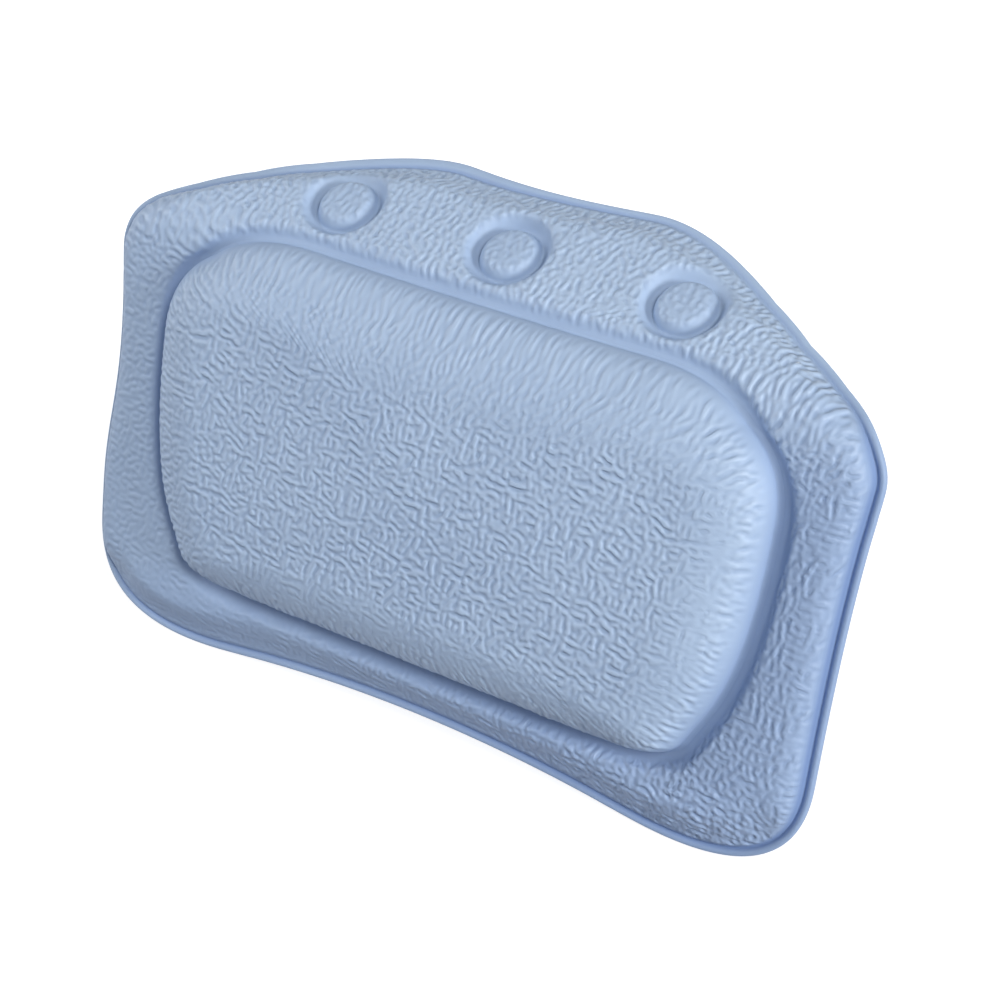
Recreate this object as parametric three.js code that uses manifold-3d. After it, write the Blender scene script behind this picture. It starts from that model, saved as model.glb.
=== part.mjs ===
// Bath pillow: a foam neck pad and a puffed border between two welded vinyl covers, held by suction cups.
// Millimetres. X is to the right as the user sees the pillow, Y points backwards and Z points up.
// The covers are laid out flat, with the weld between them at y = 0 and the cup line at z = 0.
// The flap above the pad is then bent back, so that it lies over the rounded rim of a bath.

import * as THREE from 'three';
import { mergeVertices } from 'three/addons/utils/BufferGeometryUtils.js';
import Module from 'manifold-3d';

const wasm = await Module();
wasm.setup();

// Driving sizes: whole pillow, laid out flat
const pillowWidth = 324;
const pillowHeight = 232;
const cupLineDrop = 37.6;
const cupSpacing = 71.5;

// Driving sizes: raised pad
const sideBorder = 31.5;
const bottomBorder = 36.9;
const padTopDrop = 19.5;
const padWidth = pillowWidth - 2 * sideBorder;
const padHeight = pillowHeight - cupLineDrop - padTopDrop - bottomBorder;
const padRise = 23;
const padCrown = 5;
const padSideReach = 19;
const padTopReach = 28;
const backCrown = 5;

// Driving sizes: border, from the welded rim to the groove round the pad
const rimWidth = 3.2;
const rollShoulder = 9;
const rollRise = 9;
const grooveReach = 9;
const grooveRise = 3.6;
const slopeShare = 0.4;

// Where the front surface's rings between its named edges lie
const rollMidShare = 0.5;
const slopeMidShare = 0.4;
const slopeMidRiseShare = 0.35;
const wallShares = [0.35, 0.67, 1];
const crownMidShare = 0.45;

// Driving sizes: bend of the flap
const flapLean = THREE.MathUtils.degToRad(50);
const bendRadius = 14;

// Driving sizes: sheets and gaps
const skin = 1.4;
const gap = 0.3;
const overrun = 1;
const mergeDistance = 1e-4;

// Driving sizes: dimples welded into the flap, each with a raised button over a socket
const moatRadius = 16.5;
const moatFloorRadius = 12.5;
const moatRise = 2.6;
const buttonRadius = 9.8;
const buttonRise = 7.4;
const buttonDraft = 0.8;

// Driving sizes: sockets and suction cups
const socketLip = 1.5;
const headRadius = 5.5;
const headThickness = 2.6;
const headChamfer = 0.9;
const neckRadius = 4;
const hubRadius = 8.5;
const hubThickness = 2.4;
const cupRadius = 22;
const cupHeight = 17;
const lipThickness = 0.9;
const lipWidth = 1.7;
const hollowDepth = 8;
const tabWidth = 9;
const tabLength = 7;
const tabThickness = 1.6;
const tabRelief = 0.3;
const bellBendShares = [0.35, 0.5];
const hollowBendShare = 0.55;

// Corner points of an outline's right half, from its top middle to its bottom middle. Each has its share of
// the half width, its share of the height below the top, and how much of the half sides its round takes.
const pillowCornerShares = [
  [0, 0.019, 1],
  [0.374, 0, 0.73],
  [1, 0.265, 0.51],
  [0.97, 0.538, 1],
  [0.979, 1, 0.85],
  [0, 0.916, 1],
];
const padCornerShares = [
  [0, 0.009, 1],
  [1, 0, 0.9],
  [0.995, 0.67, 1],
  [0.817, 0.994, 0.41],
  [0, 1, 1],
];

// Numbers of faces
const stationCount = 34;
const cornerWeight = 0.8;
const raySteps = 360;
const curvePoints = 24;
const dimpleSides = 14;
const cupSides = 32;
const boreSides = 24;
const bellSteps = 6;
const tabEndSteps = 8;

function symmetricOutline(cornerShares, width, height, top) {
  const right = cornerShares.map(([x, z, round]) => ({
    point: new THREE.Vector2((x * width) / 2, top - z * height),
    round,
  }));
  const left = right.slice(1, -1).reverse().map(({ point, round }) => ({
    point: new THREE.Vector2(-point.x, point.y),
    round,
  }));
  const corners = [...right, ...left];
  const path = new THREE.Path();
  corners.forEach(({ point, round }, i) => {
    const before = corners.at(i - 1).point;
    const after = corners[(i + 1) % corners.length].point;
    const start = point.clone().lerp(before, round / 2);
    const end = point.clone().lerp(after, round / 2);
    if (i === 0) path.moveTo(start.x, start.y);
    else path.lineTo(start.x, start.y);
    path.quadraticCurveTo(point.x, point.y, end.x, end.y);
  });
  path.closePath();
  const points = path.getPoints(curvePoints).slice(0, -1);
  const topMiddle = curvePoints / 2;
  return [...points.slice(topMiddle), ...points.slice(0, topMiddle)];
}

// Where a ray from the centre leaves an outline, and the outline's outward normal there.
function crossing(outline, centre, direction) {
  let best = null;
  outline.forEach((start, i) => {
    const side = outline[(i + 1) % outline.length].clone().sub(start);
    const across = direction.cross(side);
    if (Math.abs(across) < Number.EPSILON) return;
    const offset = start.clone().sub(centre);
    const reach = offset.cross(side) / across;
    const share = offset.cross(direction) / across;
    if (reach <= 0 || share < 0 || share > 1) return;
    if (best && best.reach >= reach) return;
    const normal = new THREE.Vector2(side.y, -side.x).normalize();
    if (normal.dot(direction) < 0) normal.negate();
    best = { reach, normal, point: centre.clone().addScaledVector(direction, reach) };
  });
  return best;
}

// Directions of the stations, clockwise from the top. Their spacing follows the length and the turning of
// both outlines, so that round corners take more of them than straight sides do.
function stationDirections(outlines, centre, count) {
  const up = new THREE.Vector2(0, 1);
  const origin = new THREE.Vector2();
  const rays = Array.from({ length: raySteps }, (_, k) => {
    return up.clone().rotateAround(origin, (-2 * Math.PI * k) / raySteps);
  });
  const tracks = outlines.map((outline) => rays.map((ray) => crossing(outline, centre, ray).point));
  const weights = rays.map(() => 0);
  for (const track of tracks) {
    const sides = track.map((point, k) => track[(k + 1) % raySteps].clone().sub(point));
    const perimeter = sides.reduce((sum, side) => sum + side.length(), 0);
    sides.forEach((side, k) => {
      const next = sides[(k + 1) % raySteps];
      const turn = Math.abs(Math.atan2(side.cross(next), side.dot(next)));
      weights[k] += side.length() / perimeter + (cornerWeight * turn) / (4 * Math.PI);
      weights[(k + 1) % raySteps] += (cornerWeight * turn) / (4 * Math.PI);
    });
  }
  const step = weights.reduce((sum, weight) => sum + weight, 0) / count;
  const directions = [];
  let passed = 0;
  weights.forEach((weight, k) => {
    while (directions.length < count && directions.length * step < passed + weight) {
      const share = (directions.length * step - passed) / weight;
      directions.push(rays[k].clone().lerp(rays[(k + 1) % raySteps], share).normalize());
    }
    passed += weight;
  });
  return directions;
}

// Each station is a section from the edge of the pillow to the middle of the pad.
const pillowOutline = symmetricOutline(pillowCornerShares, pillowWidth, pillowHeight, cupLineDrop);
const padOutline = symmetricOutline(padCornerShares, padWidth, padHeight, -padTopDrop);
const padCentre = new THREE.Vector2(0, -padTopDrop - padHeight / 2);
const outlines = [pillowOutline, padOutline];
const stations = stationDirections(outlines, padCentre, stationCount).map((direction) => {
  const edge = crossing(pillowOutline, padCentre, direction);
  const foot = crossing(padOutline, padCentre, direction);
  const crease = edge.point.clone().addScaledVector(edge.normal, -rimWidth);
  const across = foot.point.clone().sub(crease);
  const width = across.length();
  const upward = Math.max(foot.normal.y, 0);
  return {
    edge: edge.point,
    crease,
    foot: foot.point,
    inward: across.normalize(),
    footNormal: foot.normal,
    shoulder: Math.min(rollShoulder, width * slopeShare),
    groove: Math.min(grooveReach, width * slopeShare),
    wall: THREE.MathUtils.lerp(padSideReach, padTopReach, upward * upward),
  };
});

const rimRise = gap / 2 + skin;
const quarter = (share) => (share * Math.PI) / 2;

function upRoll(share) {
  const rise = THREE.MathUtils.lerp(rimRise, rollRise, Math.sin(quarter(share)));
  return (s) => {
    const reach = s.shoulder * (1 - Math.cos(quarter(share)));
    return { plan: s.crease.clone().addScaledVector(s.inward, reach), rise };
  };
}

function beforeFoot(share, rise) {
  return (s) => ({ plan: s.foot.clone().addScaledVector(s.inward, -share * s.groove), rise });
}

function upWall(share) {
  const rise = THREE.MathUtils.lerp(grooveRise, padRise, Math.sin(quarter(share)));
  return (s) => {
    const reach = s.wall * (1 - Math.cos(quarter(share)));
    return { plan: s.foot.clone().addScaledVector(s.footNormal, -reach), rise };
  };
}

function onCrown(share) {
  const rise = padRise + padCrown * (1 - (1 - share) ** 2);
  const wallTop = upWall(1);
  return (s) => ({ plan: wallTop(s).plan.lerp(padCentre, share), rise });
}

// Rings of the front surface, from the edge inwards. The last one is the point at the middle of the pad.
const ringMakers = [
  (s) => ({ plan: s.edge.clone(), rise: rimRise }),
  (s) => ({ plan: s.crease.clone(), rise: rimRise }),
  upRoll(rollMidShare),
  upRoll(1),
  beforeFoot(1, rollRise),
  beforeFoot(slopeMidShare, THREE.MathUtils.lerp(grooveRise, rollRise, slopeMidRiseShare)),
  beforeFoot(0, grooveRise),
  ...wallShares.map(upWall),
  onCrown(crownMidShare),
  onCrown(1),
];
const creaseRing = 1;
const lastRing = ringMakers.length - 1;
const front = ringMakers.map((maker) => stations.map(maker));

// The rings that the linings, the foam and the back cover follow: border first, then pad.
const borderRings = [1, 3, 4, 5];
const padRings = [6, 8, 9, 11];

// How far the back of a pad ring bulges behind the weld, as a share of the back's crown.
const backCrownShares = { 6: 0, 8: 0.16, 9: 0.4, 11: 1 };

// The front surface moved inwards by a distance, square to itself in the plane of each section.
function inset(distance) {
  return front.map((ring, j) =>
    ring.map((node, i) => {
      if (j === creaseRing) {
        return { plan: node.plan.clone().addScaledVector(stations[i].inward, distance), rise: gap / 2 };
      }
      const before = front[Math.max(j - 1, 0)][i];
      const after = front[Math.min(j + 1, lastRing)][i];
      const along = after.plan.clone().sub(before.plan);
      const run = along.length();
      const climb = after.rise - before.rise;
      const slope = Math.hypot(run, climb);
      along.normalize().multiplyScalar((distance * climb) / slope);
      const plan = j === lastRing ? node.plan.clone() : node.plan.clone().add(along);
      return { plan, rise: node.rise - (j === lastRing ? distance : (distance * run) / slope) };
    }),
  );
}

function pick(rings, numbers) {
  return numbers.map((j) => rings[j]);
}

// A sheet straight behind the front's rings, at a rise that may differ from ring to ring.
function behind(numbers, riseOf) {
  return numbers.map((j) => front[j].map(({ plan }) => ({ plan, rise: riseOf(j) })));
}

// The flap's bend ends just below the dimples and starts an arc's length lower.
const bendEnd = -moatRadius - gap;
const bendStart = bendEnd - bendRadius * flapLean;

function bent(plan, rise) {
  const past = plan.y - bendStart;
  const back = -rise;
  if (past <= 0) return new THREE.Vector3(plan.x, back, plan.y);
  const turn = Math.min(past / bendRadius, flapLean);
  const straight = Math.max(plan.y - bendEnd, 0);
  return new THREE.Vector3(
    plan.x,
    bendRadius - (bendRadius - back) * Math.cos(turn) + straight * Math.sin(flapLean),
    bendStart + (bendRadius - back) * Math.sin(turn) + straight * Math.cos(flapLean),
  );
}

// A closed solid between a front and a back sheet of rings, with a wall round its outer and its inner edge.
function layered(frontRings, backRings) {
  const positions = [];
  const strip = (outer, inner, facesFront) => {
    outer.forEach((node, i) => {
      const next = (i + 1) % outer.length;
      const nodes = [node, outer[next], inner[next], inner[i]];
      const [a, b, c, d] = nodes.map(({ plan, rise }) => bent(plan, rise));
      const corners = facesFront ? [a, c, b, a, d, c] : [a, b, c, a, c, d];
      corners.forEach((corner) => positions.push(...corner.toArray()));
    });
  };
  for (let j = 0; j + 1 < frontRings.length; j++) {
    strip(frontRings[j], frontRings[j + 1], true);
    strip(backRings[j], backRings[j + 1], false);
  }
  strip(backRings[0], frontRings[0], true);
  strip(frontRings.at(-1), backRings.at(-1), true);
  const geometry = new THREE.BufferGeometry();
  geometry.setAttribute('position', new THREE.Float32BufferAttribute(positions, 3));
  return solid(geometry);
}

function solid(geometry) {
  geometry.deleteAttribute('normal');
  geometry.deleteAttribute('uv');
  const merged = mergeVertices(geometry, mergeDistance);
  const index = merged.index.array;
  const triangles = [];
  for (let i = 0; i < index.length; i += 3) {
    const [a, b, c] = index.slice(i, i + 3);
    if (a !== b && b !== c && c !== a) triangles.push(a, b, c);
  }
  const vertices = merged.getAttribute('position').array;
  const mesh = new wasm.Mesh({
    numProp: 3,
    vertProperties: new Float32Array(vertices),
    triVerts: new Uint32Array(triangles),
  });
  return new wasm.Manifold(mesh);
}

function geometryOf(manifold) {
  const { vertProperties, triVerts } = manifold.getMesh();
  const geometry = new THREE.BufferGeometry();
  geometry.setAttribute('position', new THREE.Float32BufferAttribute(vertProperties, 3));
  geometry.setIndex(Array.from(triVerts));
  return geometry;
}

// A round solid about the local Y axis, from points of [radius, y] that start and end on the axis.
function turned(points, sides) {
  return new THREE.LatheGeometry(points.map(([radius, y]) => new THREE.Vector2(radius, y)), sides);
}

// The flap's own frame: its origin is on the weld, at the middle of the cup line, and its Y points back.
const flap = new THREE.Group();
flap.position.copy(bent(new THREE.Vector2(0, 0), 0));
flap.rotation.x = -flapLean;
flap.updateMatrix();
const cupPlaces = [
  ['left', -cupSpacing],
  ['centre', 0],
  ['right', cupSpacing],
];

// The same round tool at each of the three cups.
function atCups(points, sides) {
  return cupPlaces
    .map(([, x]) => {
      const tool = turned(points, sides);
      tool.translate(x, 0, 0);
      tool.applyMatrix4(flap.matrix);
      return solid(tool);
    })
    .reduce((all, tool) => all.add(tool));
}

function mesh(name, geometry, material) {
  const shown = geometry.toNonIndexed();
  shown.computeVertexNormals();
  const made = new THREE.Mesh(shown, material);
  made.name = name;
  return made;
}

const vinyl = { roughness: 0.62, metalness: 0 };
const frontVinyl = () => new THREE.MeshStandardMaterial({ color: 0xa9c0e4, ...vinyl });
const backVinyl = () => new THREE.MeshStandardMaterial({ color: 0xa4bbe0, ...vinyl });
const foam = () => new THREE.MeshStandardMaterial({ color: 0xf1ede0, roughness: 0.95, metalness: 0 });
const softPlastic = () => new THREE.MeshStandardMaterial({ color: 0xdfe7ee, roughness: 0.3, metalness: 0 });

// Covers and foam
const farRise = rollRise + overrun;
const pocketRadius = buttonRadius - skin;
const pocketRise = buttonRise - skin;
const socketRadius = pocketRadius * Math.cos(Math.PI / dimpleSides) - gap;
const backFace = gap / 2 + skin;
const backBulge = (j) => backCrown * (backCrownShares[j] ?? 0);

function dimpleGuard(margin) {
  return atCups(
    [
      [0, -farRise],
      [moatRadius + margin, -farRise],
      [moatFloorRadius + margin, -moatRise],
      [moatFloorRadius + margin, backFace],
      [0, backFace],
    ],
    dimpleSides,
  );
}

function frontCover() {
  const outside = layered(front, behind([...front.keys()], () => gap / 2));
  const numbers = [...borderRings, ...padRings];
  const lining = pick(inset(skin), numbers);
  const below = lining.map((ring) => ring.map(({ plan }) => ({ plan, rise: -overrun })));
  const hollow = layered(lining, below);
  const moats = atCups(
    [
      [0, -farRise],
      [moatRadius, -farRise],
      [moatFloorRadius, -moatRise],
      [buttonRadius + buttonDraft, -moatRise],
      [buttonRadius, -buttonRise],
      [0, -buttonRise],
    ],
    dimpleSides,
  );
  const pockets = atCups(
    [
      [0, -pocketRise],
      [pocketRadius, -pocketRise],
      [pocketRadius, overrun],
      [0, overrun],
    ],
    dimpleSides,
  );
  return outside.subtract(moats).subtract(hollow.subtract(dimpleGuard(skin))).subtract(pockets);
}

function backCover() {
  const numbers = [0, 1, 2, ...borderRings.slice(1), ...padRings];
  const sheet = layered(
    behind(numbers, (j) => -gap / 2 - backBulge(j)),
    behind(numbers, (j) => -backFace - backBulge(j)),
  );
  const holeRadius = neckRadius + gap;
  const holes = atCups(
    [
      [0, -overrun],
      [holeRadius, -overrun],
      [holeRadius, backFace + overrun],
      [0, backFace + overrun],
    ],
    boreSides,
  );
  return sheet.subtract(holes);
}

// Foam sheet in the border and the flap, cut out round the welded dimples
function borderPadding() {
  const sheet = pick(inset(skin + gap), borderRings);
  const back = behind(borderRings, () => gap);
  back[0] = sheet[0];
  return layered(sheet, back).subtract(dimpleGuard(skin + gap));
}

function padFilling() {
  const block = pick(inset(skin + gap), padRings);
  return layered(block, behind(padRings, (j) => gap / 2 - backBulge(j)));
}

// Sockets and suction cups, about the local Y axis of the flap
const socketBack = -gap / 2;
const socketFront = gap - pocketRise;
const socketStep = socketBack - socketLip;
const headBack = socketStep - gap;
const headFront = headBack - headThickness;
const hubFront = backFace + gap;
const hubBack = hubFront + hubThickness;
const seat = backFace + cupHeight;

function socket() {
  const bore = neckRadius + gap;
  const chamber = headRadius + gap;
  return turned(
    [
      [0, socketFront],
      [socketRadius, socketFront],
      [socketRadius, socketBack],
      [bore, socketBack],
      [bore, socketStep],
      [chamber, socketStep],
      [chamber, headFront - gap],
      [0, headFront - gap],
    ],
    boreSides,
  );
}

function curve(start, control, end, steps) {
  const points = [start, control, end].map(([x, y]) => new THREE.Vector2(x, y));
  return new THREE.QuadraticBezierCurve(...points).getPoints(steps).map(({ x, y }) => [x, y]);
}

function suctionCup() {
  const lipInner = cupRadius - lipWidth;
  const hollowTop = seat - hollowDepth;
  const lipBack = seat - lipThickness;
  const bellBend = [
    THREE.MathUtils.lerp(hubRadius, cupRadius, bellBendShares[0]),
    THREE.MathUtils.lerp(hubBack, lipBack, bellBendShares[1]),
  ];
  const bell = turned(
    [
      [0, headFront],
      [headRadius - headChamfer, headFront],
      [headRadius, headFront + headChamfer],
      [headRadius, headBack],
      [neckRadius, headBack],
      [neckRadius, hubFront],
      [hubRadius, hubFront],
      ...curve([hubRadius, hubBack], bellBend, [cupRadius, lipBack], bellSteps),
      [cupRadius, seat],
      ...curve([lipInner, seat], [lipInner * hollowBendShare, hollowTop], [0, hollowTop], bellSteps),
    ],
    cupSides,
  );
  const half = tabWidth / 2;
  const tongue = new THREE.Shape();
  tongue.moveTo(half, -lipInner);
  tongue.lineTo(-half, -lipInner);
  tongue.lineTo(-half, half - cupRadius - tabLength);
  tongue.absarc(0, half - cupRadius - tabLength, half, Math.PI, 2 * Math.PI, false);
  const tab = new THREE.ExtrudeGeometry(tongue, {
    depth: tabThickness,
    bevelEnabled: false,
    curveSegments: tabEndSteps,
  });
  tab.rotateX(Math.PI / 2);
  tab.translate(0, seat - tabRelief, 0);
  return geometryOf(solid(bell).add(solid(tab)));
}

const pillow = new THREE.Group();
pillow.add(mesh('front_cover', geometryOf(frontCover()), frontVinyl()));
pillow.add(mesh('back_cover', geometryOf(backCover()), backVinyl()));
pillow.add(mesh('pad_filling', geometryOf(padFilling()), foam()));
pillow.add(mesh('border_padding', geometryOf(borderPadding()), foam()));
for (const [side, x] of cupPlaces) {
  const holder = mesh(`cup_socket_${side}`, socket(), softPlastic());
  const cup = mesh(`suction_cup_${side}`, suctionCup(), softPlastic());
  holder.position.x = x;
  cup.position.x = x;
  flap.add(holder, cup);
}
pillow.add(flap);

// The origin is the middle of the centre cup's seat.
pillow.position.copy(new THREE.Vector3(0, seat, 0).applyMatrix4(flap.matrix).negate());

export default pillow;
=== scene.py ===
"""Bath pillow, dressed: embossed front skin, back skin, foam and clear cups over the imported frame."""

import math

import bpy
import numpy as np
from mathutils import Matrix, Vector


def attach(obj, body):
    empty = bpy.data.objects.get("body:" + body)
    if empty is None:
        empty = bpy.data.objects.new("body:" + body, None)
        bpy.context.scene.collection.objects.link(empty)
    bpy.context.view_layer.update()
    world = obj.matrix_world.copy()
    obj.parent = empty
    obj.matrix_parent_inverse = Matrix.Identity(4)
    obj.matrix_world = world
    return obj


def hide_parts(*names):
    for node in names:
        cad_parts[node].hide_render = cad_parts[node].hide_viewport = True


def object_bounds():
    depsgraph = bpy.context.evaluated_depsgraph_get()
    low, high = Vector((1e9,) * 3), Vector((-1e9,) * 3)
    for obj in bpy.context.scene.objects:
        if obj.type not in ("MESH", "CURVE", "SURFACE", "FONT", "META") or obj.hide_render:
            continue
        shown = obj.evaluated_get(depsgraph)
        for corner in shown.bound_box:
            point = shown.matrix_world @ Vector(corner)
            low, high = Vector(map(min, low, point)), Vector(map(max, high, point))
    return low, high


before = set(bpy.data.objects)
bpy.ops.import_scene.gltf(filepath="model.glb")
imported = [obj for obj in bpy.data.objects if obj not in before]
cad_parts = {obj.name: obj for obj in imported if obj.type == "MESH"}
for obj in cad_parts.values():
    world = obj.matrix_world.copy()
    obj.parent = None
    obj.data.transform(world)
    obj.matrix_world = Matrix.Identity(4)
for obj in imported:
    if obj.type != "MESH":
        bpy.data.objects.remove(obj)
cad_low, cad_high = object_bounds()

MM = 0.001
TINY = 1e-6

# Sizes in millimetres, laid out flat. The outlines, the cups' places and the bend are those of the CAD
PILLOW_WIDTH, PILLOW_HEIGHT, PILLOW_TOP = 324.0, 232.0, 37.6
PAD_WIDTH, PAD_HEIGHT, PAD_TOP = 261.0, 138.0, -19.5
PAD_MIDDLE = PAD_TOP - PAD_HEIGHT / 2
CUP_SPACING = 71.5
CUP_PLACES = {"left": -CUP_SPACING, "centre": 0, "right": CUP_SPACING}
SEAT = 18.55
LEAN, BEND_RADIUS, BEND_END = math.radians(50), 14.0, -16.8
BEND_START = BEND_END - BEND_RADIUS * LEAN

# The border from its edge inwards: rim, crease, the roll's shoulder and its puffed top
RIM, RIM_WIDEST, RIM_RISE, RIM_ROUNDING = 3.2, 4.8, 1.5, 1.0
CREASE_DEPTH, CREASE_WIDTH, CREASE_LOSS = 0.9, 0.9, 0.5
SHOULDER, SHOULDER_TOP, SHOULDER_LOW = 9.0, 17.0, 18.0
SHOULDER_SHARE, SHOULDER_LOW_SHARE, SLOPE_SHARE = 0.4, 0.75, 0.4
ROLL_RISE, ROLL_PUFF = 8.4, 1.2

# The pad, and the dimple and button over each cup
PAD_RISE, PAD_CROWN, FOOT_FLARE = 23.0, 5.0, 0.8
MOAT_RADIUS, MOAT_FLOOR, MOAT_RISE = 17.2, 12.0, 4.7
BUTTON_FOOT, BUTTON_RISE, BUTTON_SQUARENESS = 11.7, 9.2, 7

# The back skin, with a weld round each cup
BACK_DEPTH, BACK_CROWN, BACK_SHOULDER, BACK_PUFF = 1.25, 5.0, 10.0, 0.9
WELD_RADIUS, WELD_WIDTH, WELD_DEPTH = 13.5, 1.4, 0.8
BACK_FLAT = (15, 21)

# Values that change round the pad, for its right side and for the sides that differ
GROOVE_RISE = dict(right=6.2, top=5.6, bottom=4.6, left=7.0)
GROOVE_REACH = dict(right=7.5, top=4.0, left=4.5)
FOOT_INSET = dict(right=2.0, top=1.2, bottom=0.8, left=0.8)
WALL_REACH = dict(right=26.0, top=30.0, bottom=24.0)

# From where to where the shoulder turns from steep to gentle, by the slope of the edge, and over which
# stretch in millimetres the crease grows shallow towards the upper right
GENTLE_TOP, GENTLE_LOW = (0.55, 0.9), (0.15, 0.7)
RIGHT_TOP_SPAN = (0, 60)

# Corners as shares of half the width and of the height, with how much of each side the rounding takes
PILLOW_CORNER_SHARES = [
    (0, .019, 1), (.374, 0, .73), (1, .265, .51), (.97, .538, 1), (.979, 1, .85), (0, .916, 1),
]
PAD_CORNER_SHARES = [(0, .009, 1), (1, 0, .9), (.995, .67, 1), (.817, .994, .41), (0, 1, 1)]
CORNER_POINTS = 160

# The photographed pillow is soft, and three stretches of its edge bulge a little. Direction and spread are
# in degrees, clockwise from the top, and the bulge is in millimetres
EDGE_BULGES = ((-53, 17, 4.5), (22, 20, 2.2), (-103, 10, 3.0))
WIDE_RIM_DIRECTION, WIDE_RIM_SPREAD = -32, 26


def smooth(x):
    """A rise from 0 to 1 with level ends."""
    x = np.clip(x, 0, 1)
    return x * x * (3 - 2 * x)


def ramp(x, start, end):
    """A smooth rise from 0 at the start to 1 at the end, which may be the lower of the two."""
    return smooth((x - start) / (end - start))


def quarter(x):
    """A quarter ellipse: steep at 0, level at 1."""
    return np.sqrt(1 - (1 - np.clip(x, 0, 1)) ** 2)


def bell(x):
    """1 at 0, and soon 0 on both sides."""
    return np.exp(-(x**2))


def arch(x):
    """0 at 0 and at 1, and 1 halfway."""
    return 4 * x * (1 - x)


def curve(start, bend, end, count):
    """Points from start to end on a curve that leans towards the bend."""
    t = np.linspace(0, 1, count)[:, None]
    return (1 - t) ** 2 * np.array(start) + 2 * t * (1 - t) * np.array(bend) + t**2 * np.array(end)


# Both outlines, as tables by direction from the pad's middle

def outline(corner_shares, width, height, top):
    """Points clockwise round a symmetric outline of straight sides and rounded corners."""
    right = [(np.array((x * width / 2, top - z * height)), r) for x, z, r in corner_shares]
    left = [(point * (-1, 1), r) for point, r in reversed(right[1:-1])]
    corners = right + left
    points = []
    for i, (point, rounding) in enumerate(corners):
        before, after = corners[i - 1][0], corners[(i + 1) % len(corners)][0]
        start = point + (before - point) * rounding / 2
        end = point + (after - point) * rounding / 2
        points.append(curve(start, point, end, CORNER_POINTS))
    return np.vstack(points)


DIRECTIONS = 2880
table_angles = np.linspace(-math.pi, math.pi, DIRECTIONS + 1)
table_degrees = np.degrees(table_angles)
ray_x, ray_z = np.sin(table_angles), np.cos(table_angles)


def polar(points):
    """By direction, clockwise from the top: distance from the pad's middle and the outline's normal."""
    step = np.roll(points, -1, 0) - points
    apart = np.hypot(*step.T) > TINY
    points, step = points[apart], step[apart]
    middle = points + step / 2
    angle = np.arctan2(middle[:, 0], middle[:, 1] - PAD_MIDDLE)
    order = np.argsort(angle)
    angle, middle, step = angle[order], middle[order], step[order]
    radius = np.hypot(middle[:, 0], middle[:, 1] - PAD_MIDDLE)
    normal = np.stack([-step[:, 1], step[:, 0]], 1) / np.hypot(*step.T)[:, None]
    turns = np.concatenate([angle - 2 * math.pi, angle, angle + 2 * math.pi])
    return [np.interp(table_angles, turns, np.tile(v, 3)) for v in (radius, normal[:, 0], normal[:, 1])]


def table(angle, values):
    """A table's values in the given directions."""
    return np.interp(angle, table_angles, values)


pillow_outline = outline(PILLOW_CORNER_SHARES, PILLOW_WIDTH, PILLOW_HEIGHT, PILLOW_TOP)
edge_radius, edge_nx, edge_nz = polar(pillow_outline)
for direction, spread, bulge in EDGE_BULGES:
    edge_radius = edge_radius + bulge * bell((table_degrees - direction) / spread)
foot_radius, foot_nx, foot_nz = polar(outline(PAD_CORNER_SHARES, PAD_WIDTH, PAD_HEIGHT, PAD_TOP))
edge_cos = edge_nx * ray_x + edge_nz * ray_z
foot_cos = foot_nx * ray_x + foot_nz * ray_z
# The rim is widest along the left half of the flap's edge
off_widest = (table_degrees - WIDE_RIM_DIRECTION) / WIDE_RIM_SPREAD
rim_width = RIM + (RIM_WIDEST - RIM) * bell(off_widest**2)


class Sides:
    """How much each point belongs to the pad's top, bottom and left, by its outline's normal."""

    def __init__(self, nx, nz):
        self.up, self.down, self.left = (np.maximum(n, 0) ** 2 for n in (nz, -nz, -nx))

    def blend(self, right, top=None, bottom=None, left=None):
        """A value given for the right side, and for the other sides where they differ."""
        value = right
        for share, there in ((self.up, top), (self.down, bottom), (self.left, left)):
            if there is not None:
                value = value + (there - right) * share
        return value


class Place(Sides):
    """What the form needs to know of points of the plan."""

    def __init__(self, xz):
        self.x, self.z = xz[:, 0], xz[:, 1]
        self.radius = np.hypot(self.x, self.z - PAD_MIDDLE)
        angle = np.arctan2(self.x, self.z - PAD_MIDDLE)
        self.nx, self.nz = table(angle, foot_nx), table(angle, foot_nz)
        super().__init__(self.nx, self.nz)
        self.rim, self.edge_nz = table(angle, rim_width), table(angle, edge_nz)
        self.foot, slant = table(angle, foot_radius), table(angle, foot_cos)
        self.from_edge = (table(angle, edge_radius) - self.radius) * table(angle, edge_cos)
        self.past_foot = (self.radius - self.foot) * slant
        self.within = self.radius < self.foot
        self.share = np.clip(self.radius / self.foot, 0, 1)
        self.inside = np.where(self.within, (1 - self.share) * self.foot * slant, 0)
        self.groove = self.blend(**GROOVE_RISE)
        self.wall, self.inset = self.blend(**WALL_REACH), self.blend(**FOOT_INSET)
        self.cup = np.min([np.hypot(self.x - cup, self.z) for cup in CUP_PLACES.values()], 0)
        self.right_top = ramp(self.x, *RIGHT_TOP_SPAN) * self.up

    def across_border(self):
        """How far past the crease, how far from the foot, and how wide the border is."""
        past_crease, before_foot = np.maximum(self.from_edge - self.rim, 0), np.maximum(self.past_foot, 0)
        return past_crease, before_foot, past_crease + before_foot + TINY


# Heights over the plan, all in millimetres

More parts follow.
